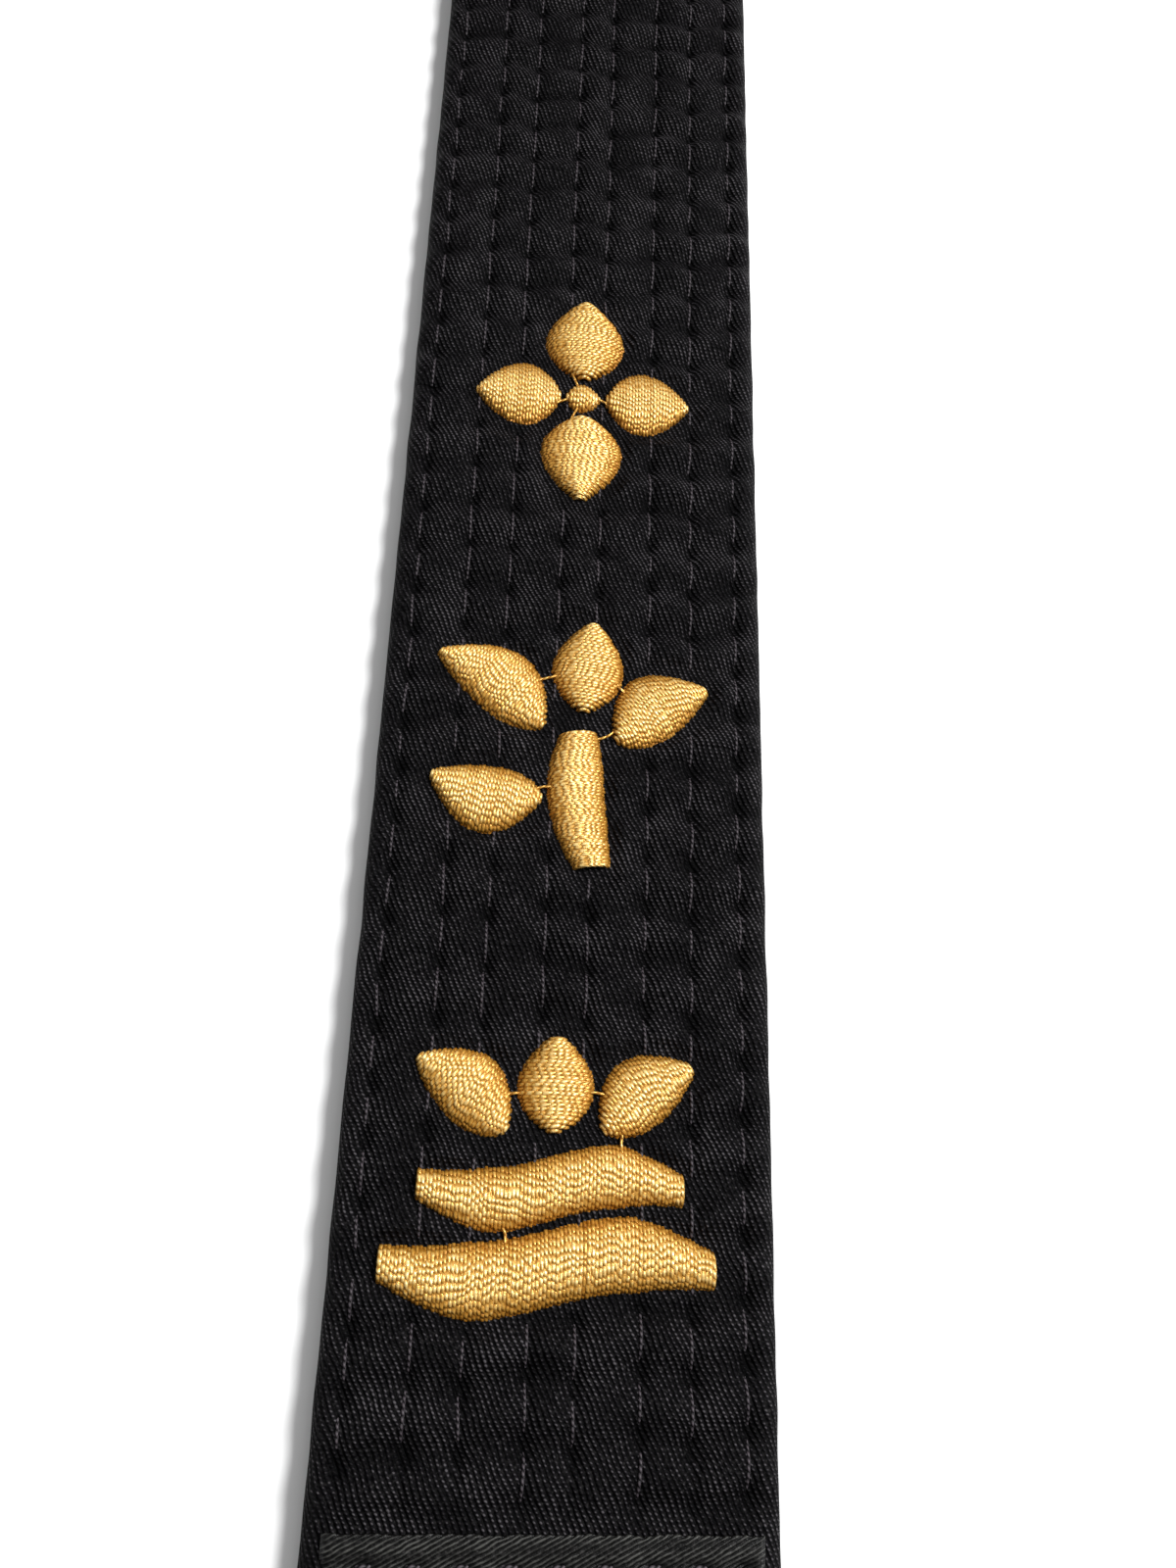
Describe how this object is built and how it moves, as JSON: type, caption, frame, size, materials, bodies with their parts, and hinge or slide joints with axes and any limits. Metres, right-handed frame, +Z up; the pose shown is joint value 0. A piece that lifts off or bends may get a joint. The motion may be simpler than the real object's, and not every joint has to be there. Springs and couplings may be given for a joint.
{
  "type": "martial arts belt",
  "caption": "Long stitched cotton belt, its embroidered end lying flat and the rest wound into a standing roll, bending at plain stretches of the flat end.",
  "frame": {"origin": "centre of the belt's overall box at the surface it rests on", "axes": "+Y runs along the belt from its free end to the roll, +X across the belt, +Z up out of its face"},
  "size_m": [0.045, 0.345, 0.1278],
  "materials": {
    "black_twill": "black cotton twill, matt, with a slight sheen on the ribs",
    "hem_twill": "black cotton twill, pressed flat at the turned end",
    "core_canvas": "dark plain cotton canvas",
    "black_thread": "twisted black polyester sewing thread, slightly glossy",
    "gold_satin": "gold rayon embroidery thread in satin stitch, glossy along the thread"
  },
  "bodies": {
    "roll": {"cover_roll_run": "black_twill", "cover_roll_turns": "black_twill", "hem_band_inner": "hem_twill", "ply_1_roll": "core_canvas", "ply_2_roll": "core_canvas", "ply_3_roll": "core_canvas"},
    "tail_upper": {"cover_tail_upper": "black_twill", "needle_thread_1_tail_upper": "black_thread", "needle_thread_2_tail_upper": "black_thread", "needle_thread_3_tail_upper": "black_thread", "needle_thread_4_tail_upper": "black_thread", "needle_thread_5_tail_upper": "black_thread", "needle_thread_6_tail_upper": "black_thread", "needle_thread_7_tail_upper": "black_thread", "needle_thread_8_tail_upper": "black_thread", "ply_1_tail_upper": "core_canvas", "ply_2_tail_upper": "core_canvas", "ply_3_tail_upper": "core_canvas", "rosette_heart": "gold_satin", "rosette_petal_bottom": "gold_satin", "rosette_petal_left": "gold_satin", "rosette_petal_right": "gold_satin", "rosette_petal_top": "gold_satin"},
    "tail_middle": {"cover_tail_middle": "black_twill", "needle_thread_1_tail_middle": "black_thread", "needle_thread_2_tail_middle": "black_thread", "needle_thread_3_tail_middle": "black_thread", "needle_thread_4_tail_middle": "black_thread", "needle_thread_5_tail_middle": "black_thread", "needle_thread_6_tail_middle": "black_thread", "needle_thread_7_tail_middle": "black_thread", "needle_thread_8_tail_middle": "black_thread", "ply_1_tail_middle": "core_canvas", "ply_2_tail_middle": "core_canvas", "ply_3_tail_middle": "core_canvas", "sprig_leaf_lower_left": "gold_satin", "sprig_leaf_top": "gold_satin", "sprig_leaf_upper_left": "gold_satin", "sprig_leaf_upper_right": "gold_satin", "sprig_stem": "gold_satin"},
    "tail_end": {"cover_tail_end": "black_twill", "hem_band_outer": "hem_twill", "hem_stitching_outer": "black_thread", "needle_thread_1_tail_end": "black_thread", "needle_thread_2_tail_end": "black_thread", "needle_thread_3_tail_end": "black_thread", "needle_thread_4_tail_end": "black_thread", "needle_thread_5_tail_end": "black_thread", "needle_thread_6_tail_end": "black_thread", "needle_thread_7_tail_end": "black_thread", "needle_thread_8_tail_end": "black_thread", "ply_1_tail_end": "core_canvas", "ply_2_tail_end": "core_canvas", "ply_3_tail_end": "core_canvas", "waves_crown_left": "gold_satin", "waves_crown_middle": "gold_satin", "waves_crown_right": "gold_satin", "waves_wave_high": "gold_satin", "waves_wave_low": "gold_satin"}
  },
  "joints": [
    {"name": "bend_upper", "type": "hinge", "parent": "roll", "child": "tail_upper", "pos_m": [0, -0.01305, 0.00225], "axis": [-1, 0, 0], "range_deg": [-45, 45]},
    {"name": "bend_middle", "type": "hinge", "parent": "tail_upper", "child": "tail_middle", "pos_m": [0, -0.06105, 0.00225], "axis": [-1, 0, 0], "range_deg": [-45, 45]},
    {"name": "bend_end", "type": "hinge", "parent": "tail_middle", "child": "tail_end", "pos_m": [0, -0.10905, 0.00225], "axis": [-1, 0, 0], "range_deg": [-45, 45]}
  ]
}
